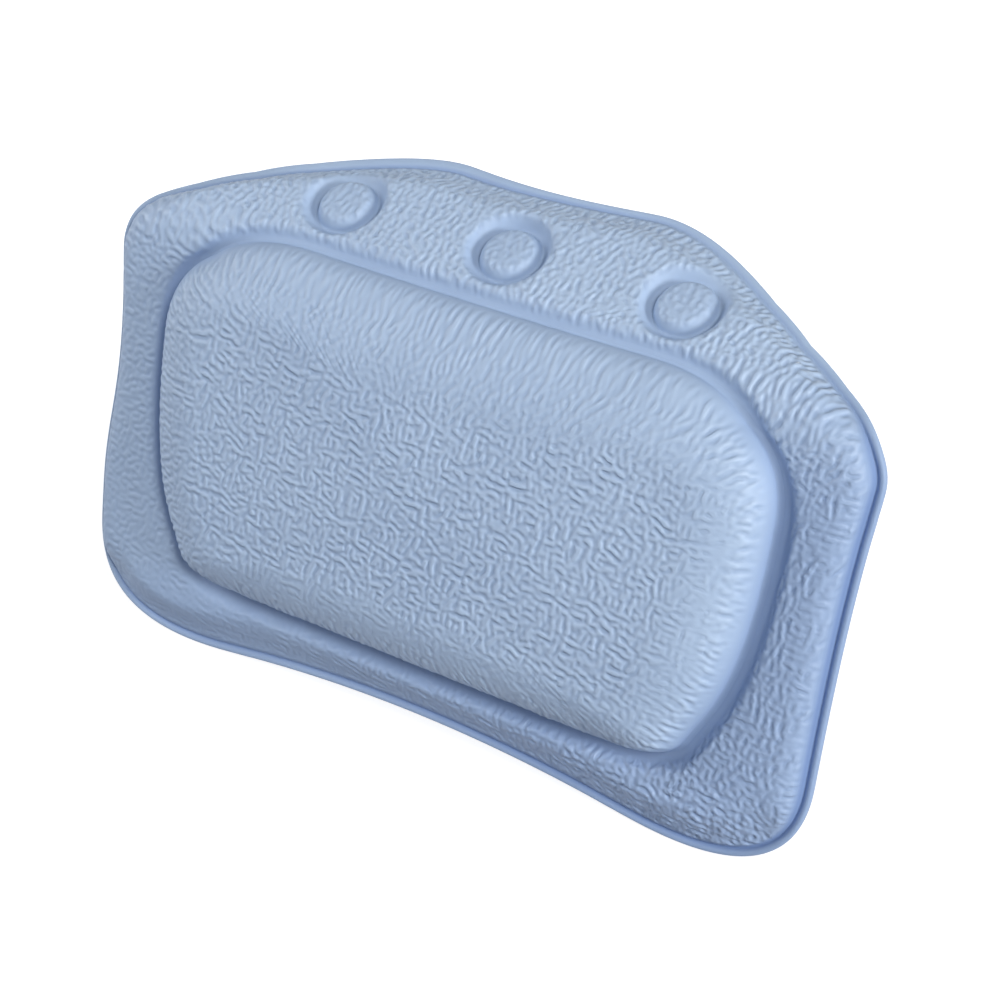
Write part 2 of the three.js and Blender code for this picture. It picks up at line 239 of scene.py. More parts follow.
def border_rise(p):
    past_crease, before_foot, width = p.across_border()
    middle = past_crease / width
    # Steep at the sides, but gentle at the flap's edge and along the bottom
    steep = quarter(past_crease / np.minimum(SHOULDER, SHOULDER_SHARE * width))
    top = np.minimum(SHOULDER_TOP, SHOULDER_SHARE * width)
    low = np.minimum(SHOULDER_LOW, SHOULDER_LOW_SHARE * width)
    gentle = smooth(past_crease / np.where(p.edge_nz > 0, top, low))
    share = np.where(p.edge_nz > 0, ramp(p.edge_nz, *GENTLE_TOP), ramp(-p.edge_nz, *GENTLE_LOW))
    roll = steep + (gentle - steep) * share
    slope = smooth(before_foot / np.minimum(p.blend(**GROOVE_REACH), SLOPE_SHARE * width))
    base = RIM_RISE + (p.groove - RIM_RISE) * middle
    rise = base + (ROLL_RISE + ROLL_PUFF * arch(middle) - base) * roll * slope
    rim = RIM_RISE * quarter(p.from_edge / RIM_ROUNDING)
    depth = CREASE_DEPTH * (1 - CREASE_LOSS * p.right_top)
    crease = depth * bell((p.from_edge - p.rim) / CREASE_WIDTH)
    return np.where(p.from_edge < p.rim, rim, rise) - crease


def crown_rise(p):
    """The pad's face, highest in its middle."""
    crown = (1 - (p.x / (PAD_WIDTH / 2)) ** 2) * (1 - ((p.z - PAD_MIDDLE) / (PAD_HEIGHT / 2)) ** 2)
    return PAD_RISE + PAD_CROWN * np.clip(crown, 0, 1)


def pad_rise(p):
    floor = p.groove + FOOT_FLARE * np.clip(p.inside / p.inset, 0, 1) ** 2
    return floor + (crown_rise(p) - floor) * quarter((p.inside - p.inset) / p.wall)


def front_rise(p):
    rise = np.where(p.within, pad_rise(p), border_rise(p))
    moat = ramp(p.cup, MOAT_FLOOR, MOAT_RADIUS)
    button = 1 - np.clip(p.cup / BUTTON_FOOT, 0, 1) ** BUTTON_SQUARENESS
    dimple = MOAT_RISE + (rise - MOAT_RISE) * moat + (BUTTON_RISE - MOAT_RISE) * button
    return np.where(p.cup < MOAT_RADIUS, dimple, rise)


def back_rise(p):
    past_crease, _, width = p.across_border()
    bulge = BACK_CROWN * (1 - p.share**3) * ramp(p.inside, 0, BACK_SHOULDER)
    puff = np.where(p.within, 0, BACK_PUFF * smooth(arch(past_crease / width)))
    weld = WELD_DEPTH * bell((p.cup - WELD_RADIUS) / WELD_WIDTH)
    depth = BACK_DEPTH + (bulge + puff) * ramp(p.cup, *BACK_FLAT) - weld
    return -depth * quarter(p.from_edge / RIM_ROUNDING)


def folded(xz, rise):
    """The flat plan bent back above the pad, in millimetres."""
    x, z, back = xz[:, 0], xz[:, 1], -rise
    turn = np.clip((z - BEND_START) / BEND_RADIUS, 0, LEAN)
    straight = np.maximum(z - BEND_END, 0)
    arm = BEND_RADIUS - back
    y = np.where(z < BEND_START, back, BEND_RADIUS - arm * np.cos(turn) + straight * math.sin(LEAN))
    up = np.where(z < BEND_START, z, BEND_START + arm * np.sin(turn) + straight * math.cos(LEAN))
    return np.stack([x, y, up], 1)


# The frame's origin lies in the centre cup's seat
centre_seat = folded(np.array([(0.0, 0.0)]), np.array([-SEAT]))[0]


def bent(xz, rise):
    """The flat plan bent back above the pad, in metres of the frame."""
    return (folded(xz, rise) - centre_seat) * MM


# Sheets over the plan, as rings and a grid

SHOULDER_STEP = 9
RIM_RING_SHARES = (0, .03, .08, .16, .25, .42, .58, .7, .8, .9)
INSET_RINGS = 4
PATCH_MARGIN, PATCH_CLEARANCE, PATCH_START = 1.5, 0.7, 0.2
PATCH_RING_SHARES = (0.3, 0.65, 1)


class Sheet:
    """Points of the plan and the faces between them, wound to face the front."""

    def __init__(self):
        self.points, self.faces, self.count = [], [], 0

    def add(self, xz):
        self.points.append(xz)
        self.count += len(xz)
        return np.arange(self.count - len(xz), self.count)

    def bridge(self, outer, inner):
        self.faces.append(np.stack([outer, inner, np.roll(inner, -1), np.roll(outer, -1)], 1))

    def plan(self):
        return np.vstack(self.points)

    def quads(self):
        return np.vstack(self.faces)


def stations(count):
    """Directions spaced so that both outlines are cut into even lengths."""
    total = np.zeros(DIRECTIONS)
    for radius in (edge_radius, foot_radius):
        length = np.hypot(np.diff(radius * ray_x), np.diff(radius * ray_z))
        total += length / length.sum()
    passed = np.concatenate([[0], np.cumsum(total)])
    passed *= 1 / passed[-1]
    top = np.interp(0, table_angles, passed)
    wanted = (top + np.arange(count) / count) % 1
    return np.interp(wanted, passed, table_angles)


def on_ray(angle, radius):
    """Points of the plan at the given directions and distances from the pad's middle."""
    return np.stack([radius * np.sin(angle), PAD_MIDDLE + radius * np.cos(angle)], 1)


def patch_place(cup, angle, places, last):
    """The columns of the border's grid beside a cup, and the nearest rows outside and inside of it."""
    count = len(angle)
    half = math.asin((MOAT_RADIUS + PATCH_MARGIN) / math.hypot(cup, PAD_MIDDLE))
    towards = math.atan2(cup, -PAD_MIDDLE)
    turn = (angle - towards + math.pi) % (2 * math.pi) - math.pi
    first, end = (int(np.argmin(np.abs(turn - side))) for side in (-half, half))
    columns = (first + np.arange((end - first) % count + 1)) % count
    gap = np.hypot(places[:, columns, 0] - cup, places[:, columns, 1]).min(1)
    clear = gap > MOAT_RADIUS + PATCH_CLEARANCE
    middle = int(np.argmin(gap))
    above = max(j for j in range(middle) if clear[j])
    below = min(j for j in range(middle, last + 1) if clear[j])
    return columns, above, below


def cup_patch(sheet, cup, loop, around, ring_radii, open_middle):
    """Rings from a loop of the grid, whose points are around the cup, in to the cup's middle."""
    out = around - (cup, 0)
    reach = np.hypot(*out.T)
    out /= reach[:, None]
    radii = [reach + (MOAT_RADIUS + PATCH_START - reach) * share for share in PATCH_RING_SHARES]
    radii += [np.full(len(loop), radius) for radius in ring_radii]
    outer = loop
    for radius in radii:
        inner = sheet.add(np.array((cup, 0)) + out * radius[:, None])
        sheet.bridge(outer, inner)
        outer = inner
    if not open_middle:
        centre = sheet.add(np.array([(cup, 0.0)]))
        sheet.bridge(outer, np.full(len(outer), centre[0]))


def border_sheet(sheet, count, rings, cup_rings, open_middle=False, tuck=0.0):
    """The border, from the outer edge to the pad's foot, with a round patch at each cup."""
    angle = stations(count)
    edge, foot, rim = (table(angle, values) for values in (edge_radius, foot_radius, rim_width))
    slant = table(angle, edge_cos)
    crease = edge - rim / slant
    radii = [edge - rim * share / slant for share in RIM_RING_SHARES]
    narrower = np.minimum(1, SHOULDER_SHARE * (crease - foot) / SHOULDER)
    turns = np.radians(range(0, 91, SHOULDER_STEP))
    radii += [crease - SHOULDER * (1 - math.cos(turn)) * narrower for turn in turns]
    start = radii[-1]
    radii += [start + (foot - start) * (j + 1) / rings for j in range(rings)]
    last = len(radii) - 1
    if tuck:
        radii.append(foot - tuck)
    places = np.array([on_ray(angle, radius) for radius in radii])
    grid = np.array([sheet.add(row) for row in places])
    keep = np.ones((len(radii) - 1, count), bool)
    for cup in CUP_PLACES.values():
        columns, above, below = patch_place(cup, angle, places, last)
        keep[above:below, columns[:-1]] = False
        loop = np.concatenate([
            grid[above, columns], grid[above + 1:below, columns[-1]],
            grid[below, columns[::-1]], grid[above + 1:below, columns[0]][::-1],
        ])
        around = places.reshape(-1, 2)[loop - grid[0, 0]]
        cup_patch(sheet, cup, loop, around, cup_rings, open_middle)
    for outer, inner, kept in zip(grid, grid[1:], keep):
        quads = np.stack([outer, inner, np.roll(inner, -1), np.roll(outer, -1)], 1)
        sheet.faces.append(quads[kept])
    return grid[last]


def grid_perimeter(across, along):
    """Columns and rows of the perimeter of a grid, clockwise from its top middle."""
    half = across // 2
    columns = np.concatenate([
        np.arange(half, across), np.full(along, across), np.arange(across, 0, -1),
        np.zeros(along), np.arange(0, half),
    ])
    rows = np.concatenate([
        np.full(across - half, along), np.arange(along, 0, -1), np.zeros(across),
        np.arange(0, along), np.full(half, along),
    ])
    return columns.astype(int), rows.astype(int)


def way_round(u, v, across, along):
    """How far round the perimeter, in stations, a point on it lies, with u and v from -1 to 1."""
    right, left, low = u >= 1 - TINY, u <= TINY - 1, v <= TINY - 1
    way = across / 2 * u
    way = np.where(right, across / 2 + along / 2 * (1 - v), way)
    way = np.where(low & ~right & ~left, across / 2 + along + across / 2 * (1 - u), way)
    way = np.where(left, across / 2 + along + across + along / 2 * (1 + v), way)
    return way % (2 * (across + along))


def pad_sheet(sheet, across, along, wall_steps, outer=None, tuck=0.0, shrink=0.0):
    """The pad: rings up its wall, then a grid fitted to the last ring."""
    count = 2 * (across + along)
    angle = stations(count)
    slant = table(angle, foot_cos)
    foot = table(angle, foot_radius) - shrink / slant
    sides = Sides(table(angle, foot_nx), table(angle, foot_nz))
    wall, inset = sides.blend(**WALL_REACH), sides.blend(**FOOT_INSET)
    radii = [foot + tuck] if tuck else []
    radii += [foot - inset * j / INSET_RINGS / slant for j in range(INSET_RINGS)]
    turns = [math.pi / 2 * j / wall_steps for j in range(wall_steps + 1)]
    radii += [foot - (inset + wall * (1 - math.cos(turn))) / slant for turn in turns]
    if outer is None:
        outer = sheet.add(on_ray(angle, radii[0]))
    for radius in radii[1:]:
        inner = sheet.add(on_ray(angle, radius))
        sheet.bridge(outer, inner)
        outer = inner
    last_ring = on_ray(angle, radii[-1])
    ids = np.zeros((across + 1, along + 1), int)
    ids[grid_perimeter(across, along)] = outer
    columns, rows = np.meshgrid(np.arange(1, across), np.arange(1, along), indexing="ij")
    u, v = 2 * columns / across - 1, 2 * rows / along - 1
    reach = np.maximum(np.abs(u), np.abs(v))
    safe = np.where(reach == 0, 1, reach)
    way = way_round(u / safe, v / safe, across, along)
    base = np.floor(way).astype(int) % count
    part = (way - np.floor(way))[..., None]
    target = last_ring[base] * (1 - part) + last_ring[(base + 1) % count] * part
    centre = np.array((0, PAD_MIDDLE))
    inner = centre + reach[..., None] * (target - centre)
    ids[1:across, 1:along] = sheet.add(inner.reshape(-1, 2)).reshape(across - 1, along - 1)
    quads = np.stack([ids[:-1, :-1], ids[1:, :-1], ids[1:, 1:], ids[:-1, 1:]], -1)
    sheet.faces.append(quads.reshape(-1, 4))


# Where the grain shows, and where shade is painted into the colour

# How far the ridges are drawn across the edges, near the pad's wall and on the border, and their slant
DRAWN_REACH = dict(right=17, top=33)
BORDER_DRAWN = dict(right=0.35, top=0.65)
PAD_SLANT, BORDER_SLANT = -0.25, 0.3
# The pad's grain: how it fades in past its wall's foot, and how much stronger it is near the wall
PAD_GRAIN_OFF, PAD_GRAIN_FADE = 0.5, dict(right=6, top=3, bottom=3)
WALL_GRAIN, WALL_GRAIN_REACH = dict(right=0.6, top=0), dict(right=12, top=34)
PAD_GRAIN = 1.15
# The border's grain: how it fades in past the groove, and how strong it is
BORDER_GRAIN_OFF, BORDER_GRAIN_FADE = dict(right=2, top=0.8), dict(right=4.5, top=2.5)
BORDER_GRAIN = dict(right=1.4, top=1.9)
RIGHT_GRAIN, RIGHT_GRAIN_SPAN = 0.7, (0, 80)
LEFT_GRAIN_LOSS, LEFT_SPAN, BELOW_SPAN = 0.45, (30, -80), (-10, -50)
CORNER_GRAIN, CORNER_SPAN = 0.4, (60, 120)
RIM_FADE = (0.5, 2.5)
MOAT_FADE = (MOAT_RADIUS - 2.8, MOAT_RADIUS + 1.2)
BUTTON_GRAIN, BUTTON_FADE = 0.5, (BUTTON_FOOT - 0.8, BUTTON_FOOT - 3.3)
# Painted shade, a darker colour: in the groove and at the pad's foot, on the border below and to the
# right, and in the crease at the rim
PAD_SHADE_LINE, BORDER_SHADE_LINE = 3, dict(right=4.5, bottom=3.5)
GROOVE_SHADE = dict(right=1.1, top=0.2, bottom=0.8)
BORDER_SHADE, RIGHT_SHADE, RIGHT_SHADE_SPAN = 0.45, 0.45, (-60, 60)
CREASE_SHADE, CREASE_SHADE_LOSS = 1.1, 0.5


def grain_way(p):
    """The direction that the ridges lie across, and how much of the drawn grain shows, from 0 to 1."""
    by_wall = bell(p.inside / p.blend(**DRAWN_REACH))
    drawn = np.where(p.within, by_wall, p.blend(**BORDER_DRAWN))
    across = np.arctan2(-p.nx, p.nz) + np.where(p.within, PAD_SLANT, BORDER_SLANT) * p.up
    return np.stack([np.cos(across), np.sin(across), drawn], 1)


def grain_amount(p):
    """How high the grain stands, as a share: 0 in the groove, in the moats and on the rim."""
    near_wall = bell(p.inside / p.blend(**WALL_GRAIN_REACH))
    on_pad = smooth((p.inside - p.inset - PAD_GRAIN_OFF) / p.blend(**PAD_GRAIN_FADE))
    on_pad = on_pad * (1 + near_wall * p.blend(**WALL_GRAIN)) * PAD_GRAIN
    on_border = smooth((p.past_foot - p.blend(**BORDER_GRAIN_OFF)) / p.blend(**BORDER_GRAIN_FADE))
    more_right = RIGHT_GRAIN * ramp(p.x, *RIGHT_GRAIN_SPAN) * (1 - p.up)
    on_border = on_border * (p.blend(**BORDER_GRAIN) + more_right)
    # The border is smoother towards the lower left and rougher in its lower right corner
    less_left = LEFT_GRAIN_LOSS * ramp(p.x, *LEFT_SPAN) * ramp(p.z, *BELOW_SPAN)
    on_border = on_border * (1 - less_left + CORNER_GRAIN * ramp(p.x, *CORNER_SPAN) * p.down)
    round_cup = ramp(p.cup, *MOAT_FADE) + BUTTON_GRAIN * ramp(p.cup, *BUTTON_FADE)
    rim = ramp(p.from_edge - p.rim, *RIM_FADE)
    return np.where(p.within, on_pad, on_border) * rim * np.clip(round_cup, 0, 1)


def painted_shade_share(p):
    """How much painted shade shows: in the groove and at the pad's foot, on the border below and to the
    right, and in the crease at the rim.
    """
    # Painted shade along the groove, on both sides of the pad's foot
    line = bell(np.where(p.within, p.inside / PAD_SHADE_LINE, p.past_foot / p.blend(**BORDER_SHADE_LINE)))
    # Painted shade over the border, except at its top and its left, stronger towards the right
    below = (BORDER_SHADE + RIGHT_SHADE * ramp(p.x, *RIGHT_SHADE_SPAN)) * (1 - p.up) * (1 - p.left)
    groove = np.maximum(line * p.blend(**GROOVE_SHADE), np.where(p.within, 0, below))
    # Painted shade in the crease at the rim, weaker towards the upper right
    crease = bell((p.from_edge - p.rim) / CREASE_WIDTH)
    return groove + (CREASE_SHADE - CREASE_SHADE_LOSS * p.right_top) * crease


# Meshes

TUCK_DROP = 0.3


def link(made):
    bpy.context.scene.collection.objects.link(made)
    return made


def mesh_object(name, points, faces):
    """An object from points in metres and groups of faces of equal length."""
    mesh = bpy.data.meshes.new(name)
    mesh.vertices.add(len(points))
    mesh.vertices.foreach_set("co", points.astype(np.float32).ravel())
    flat = [face for group in faces for face in group]
    sizes = np.array([len(face) for face in flat])
    loops = np.concatenate(flat)
    mesh.loops.add(len(loops))
    mesh.polygons.add(len(sizes))
    mesh.loops.foreach_set("vertex_index", loops)
    mesh.polygons.foreach_set("loop_start", np.concatenate([[0], np.cumsum(sizes)[:-1]]))
    mesh.update(calc_edges=True)
    mesh.validate()
    mesh.shade_smooth()
    return link(bpy.data.objects.new(name, mesh))


def skin_object(name, sheet, rise_of, facing=1, tucked=None):
    """A skin over a sheet, with what its grain, its colour and its painted shade need. Tucked points are
    sunk a little.
    """
    xz = sheet.plan()
    p = Place(xz)
    rise = rise_of(p)
    if tucked is not None:
        rise = np.where(tucked(p), rise - TUCK_DROP, rise)
    quads = sheet.quads()
    # A face that ends at a cup's middle has that corner twice, and becomes a triangle
    single = quads[:, 1] == quads[:, 2]
    groups = [quads[~single], quads[single][:, [0, 1, 3]]]
    made = mesh_object(name, bent(xz, rise), [group[:, ::facing] for group in groups if len(group)])
    for key, kind, field, values in (
        ("sheet_place", "FLOAT_VECTOR", "vector", np.stack([p.x, p.z, np.zeros_like(p.x)], 1)),
        ("grain_way", "FLOAT_VECTOR", "vector", grain_way(p)),
        ("grain", "FLOAT", "value", grain_amount(p)),
        ("painted_shade", "FLOAT", "value", painted_shade_share(p)),
    ):
        attribute = made.data.attributes.new(key, kind, "POINT")
        attribute.data.foreach_set(field, values.astype(np.float32).ravel())
    return made


def closed(name, sheet, top_of, bottom_of):
    """A closed block between two heights over one sheet."""
    xz = sheet.plan()
    p = Place(xz)
    count = len(xz)
    quads = sheet.quads()
    ways = np.concatenate([quads[:, [i, (i + 1) % 4]] for i in range(4)])
    _, where, times = np.unique(np.sort(ways, 1), axis=0, return_index=True, return_counts=True)
    rim = ways[where[times == 1]]
    walls = np.stack([rim[:, 0], rim[:, 0] + count, rim[:, 1] + count, rim[:, 1]], 1)
    points = np.vstack([bent(xz, top_of(p)), bent(xz, bottom_of(p))])
    return mesh_object(name, points, [quads, quads[:, ::-1] + count, walls])


# Node helpers, which work in shader and in geometry trees

def math_node(tree, operation, a, b, clamp=False):
    node = tree.nodes.new("ShaderNodeMath")
    node.operation = operation
    node.use_clamp = clamp
    for socket, value in zip(node.inputs, (a, b)):
        if isinstance(value, (int, float)):
            socket.default_value = value
        else:
            tree.links.new(value, socket)
    return node.outputs[0]


def noise_node(tree, vector, scale, detail):
    node = tree.nodes.new("ShaderNodeTexNoise")
    node.inputs["Scale"].default_value = scale
    node.inputs["Detail"].default_value = detail
    tree.links.new(vector, node.inputs["Vector"])
    return node.outputs[0]


def map_node(tree, value, low, high, to_low=0.0, to_high=1.0, kind="SMOOTHSTEP"):
    node = tree.nodes.new("ShaderNodeMapRange")
    node.interpolation_type = kind
    tree.links.new(value, node.inputs["Value"])
    for key, number in (("From Min", low), ("From Max", high), ("To Min", to_low), ("To Max", to_high)):
        node.inputs[key].default_value = number
    return node.outputs[0]


def blend_node(tree, factor, a, b):
    node = tree.nodes.new("ShaderNodeMix")
    for socket, value in zip((node.inputs[0], node.inputs[2], node.inputs[3]), (factor, a, b)):
        tree.links.new(value, socket)
    return node.outputs[0]


# The embossed grain: cells per millimetre and waves per cell, how straight the ridges of the net and the
# drawn ridges run, and how the net's two directions mix. Its height is in metres
GRAIN_SCALE, GRAIN_WAVES = 0.225, 1.3
NET_PULL, DRAWN_PULL = 0.7, 0.55
UPRIGHT, LEVEL = -0.3, math.pi / 2 - 0.1
PATCH_SCALE, PATCH_MIX = 0.12, (0.4, 0.6, 0.2, 0.8)
NET_CONTRAST, DRAWN_CONTRAST = (0.32, 0.66), (0.24, 0.74)
GRAIN_HEIGHT = 0.00036


def worms(tree, place, pull, turn):
    """Even, worm-like ridges at random, or all across one direction where pull nears 1."""
    node = tree.nodes.new("ShaderNodeTexGabor")
    node.gabor_type = "2D"
    tree.links.new(place, node.inputs["Vector"])
    node.inputs["Scale"].default_value = GRAIN_SCALE
    node.inputs["Frequency"].default_value = GRAIN_WAVES
    node.inputs["Anisotropy"].default_value = pull
    socket = [s for s in node.inputs if s.name == "Orientation" and s.type == "VALUE"][0]
    if isinstance(turn, float):
        socket.default_value = turn
    else:
        tree.links.new(turn, socket)
    return node.outputs["Value"]


def grain_height(tree, place, way):
    """The grain from 0 to 1, the same in the mesh and in the bump. Ridges cross the way they are drawn."""
    parts = tree.nodes.new("ShaderNodeSeparateXYZ")
    tree.links.new(way, parts.inputs[0])
    turn = math_node(tree, "ARCTAN2", parts.outputs["Y"], parts.outputs["X"])
    # Away from the edges the ridges form a net of upright and level patches
    patches = map_node(tree, noise_node(tree, place, PATCH_SCALE, 1.0), *PATCH_MIX)
    upright, level = (worms(tree, place, NET_PULL, way_of) for way_of in (UPRIGHT, LEVEL))
    net = map_node(tree, blend_node(tree, patches, upright, level), *NET_CONTRAST)
    drawn = map_node(tree, worms(tree, place, DRAWN_PULL, turn), *DRAWN_CONTRAST)
    return blend_node(tree, parts.outputs["Z"], net, drawn)


def emboss(made):
    """Raises the grain in the mesh itself, along its normals, and keeps the result."""
    tree = bpy.data.node_groups.new("emboss", "GeometryNodeTree")
    tree.interface.new_socket("Geometry", in_out="INPUT", socket_type="NodeSocketGeometry")
    tree.interface.new_socket("Geometry", in_out="OUTPUT", socket_type="NodeSocketGeometry")
    start, end = tree.nodes.new("NodeGroupInput"), tree.nodes.new("NodeGroupOutput")

    def named(key, kind):
        node = tree.nodes.new("GeometryNodeInputNamedAttribute")
        node.data_type = kind
        node.inputs["Name"].default_value = key
        return node.outputs["Attribute"]

    level = grain_height(tree, named("sheet_place", "FLOAT_VECTOR"), named("grain_way", "FLOAT_VECTOR"))
    amount = math_node(tree, "MULTIPLY", level, named("grain", "FLOAT"))
    amount = math_node(tree, "MULTIPLY", amount, GRAIN_HEIGHT)
    offset = tree.nodes.new("ShaderNodeVectorMath")
    offset.operation = "SCALE"
    tree.links.new(tree.nodes.new("GeometryNodeInputNormal").outputs[0], offset.inputs[0])
    tree.links.new(amount, offset.inputs["Scale"])
    move = tree.nodes.new("GeometryNodeSetPosition")
    tree.links.new(start.outputs[0], move.inputs["Geometry"])
    tree.links.new(offset.outputs[0], move.inputs["Offset"])
    tree.links.new(move.outputs["Geometry"], end.inputs[0])
    modifier = made.modifiers.new("emboss", "NODES")
    modifier.node_group = tree
    graph = bpy.context.evaluated_depsgraph_get()
    mesh = bpy.data.meshes.new_from_object(made.evaluated_get(graph))
    made.modifiers.clear()
    made.data = mesh
    mesh.name = made.name


# Materials

def linear(r, g, b):
    """An sRGB colour from 0 to 255, as linear light."""
    values = [c / 255 for c in (r, g, b)]
    return tuple(v / 12.92 if v <= 0.04045 else ((v + 0.055) / 1.055) ** 2.4 for v in values) + (1.0,)


def new_material(name):
    material = bpy.data.materials.new(name)
    material.use_nodes = True
    tree = material.node_tree
    tree.nodes.clear()
    shader = tree.nodes.new("ShaderNodeBsdfPrincipled")
    out = tree.nodes.new("ShaderNodeOutputMaterial")
    tree.links.new(shader.outputs[0], out.inputs["Surface"])
    return material, tree, shader


def mix_colour(tree, factor, a, b):
    node = tree.nodes.new("ShaderNodeMix")
    node.data_type = "RGBA"
    tree.links.new(factor, [s for s in node.inputs if s.name == "Factor" and s.type == "VALUE"][0])
    for socket, value in zip([s for s in node.inputs if s.type == "RGBA"], (a, b)):
        if isinstance(value, tuple):
            socket.default_value = value
        else:
            tree.links.new(value, socket)
    return [s for s in node.outputs if s.type == "RGBA"][0]


def add_bump(tree, shader, height, depth):
    bump = tree.nodes.new("ShaderNodeBump")
    bump.inputs["Distance"].default_value = depth
    tree.links.new(height, bump.inputs["Height"])
    tree.links.new(bump.outputs[0], shader.inputs["Normal"])


CLOUD_SCALE, CLOUD_TONE, PORE_SCALE, PORE_DEPTH = 28.0, 0.5, 2600.0, 0.12
PAINTED_GRAIN_SHADING, PLAIN_TONE, TONE_SPAN, PAINTED_SHADE_STRENGTH = 0.5, 0.25, (0.1, 0.85), 0.55
VINYL_ROUGH, CLOUD_ROUGH, RIDGE_SHINE, VINYL_SPECULAR = 0.56, 0.08, -0.1, 0.4


def vinyl(name, light, dark, groove, bump_depth):
    """Embossed vinyl: painted light and shade on its grain, lighter on the ridges and darker in the
    hollows, shinier on its ridges, cloudy, and with painted shade in the groove, in the crease and on the
    border.
    """
    material, tree, shader = new_material(name)

    def named(key, output):
        node = tree.nodes.new("ShaderNodeAttribute")
        node.attribute_name = key
        return node.outputs[output]

    def times(a, b, clamp=False):
        return math_node(tree, "MULTIPLY", a, b, clamp)

    def plus(a, b):
        return math_node(tree, "ADD", a, b)

    grain = named("grain", "Fac")
    level = grain_height(tree, named("sheet_place", "Vector"), named("grain_way", "Vector"))
    where = tree.nodes.new("ShaderNodeTexCoord").outputs["Object"]
    clouds = noise_node(tree, where, CLOUD_SCALE, 3.0)
    pores = noise_node(tree, where, PORE_SCALE, 2.0)
    grained = times(level, grain)
    plain = map_node(tree, grain, 0.0, 1.0, PLAIN_TONE, 0.0)
    # Painted light and shade on the grain: its ridges lighter and its hollows darker
    tone = plus(times(grained, PAINTED_GRAIN_SHADING), plus(times(clouds, CLOUD_TONE), plain))
    lightness = map_node(tree, tone, *TONE_SPAN, kind="LINEAR")
    colour = mix_colour(tree, lightness, linear(*dark), linear(*light))
    # Painted shade: the colour turns towards the groove colour where the painted shade attribute is high
    painted_shade = times(named("painted_shade", "Fac"), PAINTED_SHADE_STRENGTH, clamp=True)
    colour = mix_colour(tree, painted_shade, colour, linear(*groove))
    tree.links.new(colour, shader.inputs["Base Color"])
    rough = plus(times(grained, RIDGE_SHINE), plus(times(clouds, CLOUD_ROUGH), VINYL_ROUGH))
    tree.links.new(rough, shader.inputs["Roughness"])
    shader.inputs["Specular IOR Level"].default_value = VINYL_SPECULAR
    add_bump(tree, shader, plus(grained, times(pores, PORE_DEPTH)), bump_depth)
    return material


PLAIN_CLOUD_SCALE, PLAIN_CLOUD_SHARE = 35.0, 0.88


def plain_material(name, colour, rough, bump_scale, bump_depth, **inputs):
    """One colour with soft clouds and a fine bump."""
    material, tree, shader = new_material(name)
    where = tree.nodes.new("ShaderNodeTexCoord").outputs["Object"]
    clouds = noise_node(tree, where, PLAIN_CLOUD_SCALE, 3.0)
    lighter = linear(*colour)
    darker = tuple(c * PLAIN_CLOUD_SHARE for c in lighter[:3]) + (1.0,)
    tree.links.new(mix_colour(tree, clouds, darker, lighter), shader.inputs["Base Color"])
    shader.inputs["Roughness"].default_value = rough
    add_bump(tree, shader, noise_node(tree, where, bump_scale, 3.0), bump_depth)
    for key, value in inputs.items():
        shader.inputs[key].default_value = value
    return material


# Each vinyl's groove colour is the colour of its painted shade
front_vinyl = vinyl(
    "front_vinyl", light=(175, 196, 224), dark=(152, 174, 206), groove=(118, 143, 188), bump_depth=0.0003
)
back_vinyl = vinyl(
    "back_vinyl", light=(164, 184, 214), dark=(150, 170, 202), groove=(132, 155, 194), bump_depth=0.00012
)
foam_material = plain_material(
    "open_cell_foam", (240, 236, 224), rough=0.95, bump_scale=900.0, bump_depth=0.0006
)
socket_vinyl = plain_material(
    "socket_vinyl", (214, 222, 232), rough=0.5, bump_scale=1400.0, bump_depth=0.00005
)
see_through = {"Transmission Weight": 0.9, "IOR": 1.45}
clear_vinyl = plain_material(
    "clear_vinyl", (226, 236, 244), rough=0.16, bump_scale=500.0, bump_depth=0.00003, **see_through
)

# Front skin: one moulding, shown as its pad and its border, which meet in the groove
TUCK, TUCKED_PAST = 0.5, 0.2
MOAT_RINGS = [16.8 - 0.6 * i for i in range(8)]
BUTTON_WALL_RINGS = [12.1 - 0.4 * i for i in range(13)]
BUTTON_RINGS = [6.7, 6.1, 5.5, 4.9, 4.2, 3.5, 2.8, 2.1, 1.4, 0.7]
border = Sheet()
cup_rings = MOAT_RINGS + BUTTON_WALL_RINGS + BUTTON_RINGS
border_sheet(border, count=1120, rings=47, cup_rings=cup_rings, tuck=TUCK)
pad = Sheet()
pad_sheet(pad, across=352, along=194, wall_steps=20, tuck=TUCK)
front_border = skin_object(
    "front_skin_border", border, front_rise, tucked=lambda p: p.radius < p.foot - TUCKED_PAST
)
front_pad = skin_object(
    "front_skin_pad", pad, front_rise, tucked=lambda p: p.radius > p.foot + TUCKED_PAST
)
for piece in (front_border, front_pad):
    emboss(piece)
    piece.data.materials.append(front_vinyl)
    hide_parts("front_cover")
    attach(piece, "pillow")

# Back skin, with a weld ring and a neck hole behind each button
BACK_RINGS = [16.4, 15.6, 14.8, 14.1, 13.5, 12.9, 12.2, 11.4, 10.6, 9.4, 8, 6.6, 5.4, 4.6, 4.3]
back = Sheet()
foot_ring = border_sheet(back, count=480, rings=22, cup_rings=BACK_RINGS, open_middle=True)
pad_sheet(back, across=150, along=90, wall_steps=8, outer=foot_ring)
back_skin = skin_object("back_skin", back, back_rise, facing=-1)
back_skin.data.materials.append(back_vinyl)
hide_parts("back_cover")
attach(back_skin, "pillow")

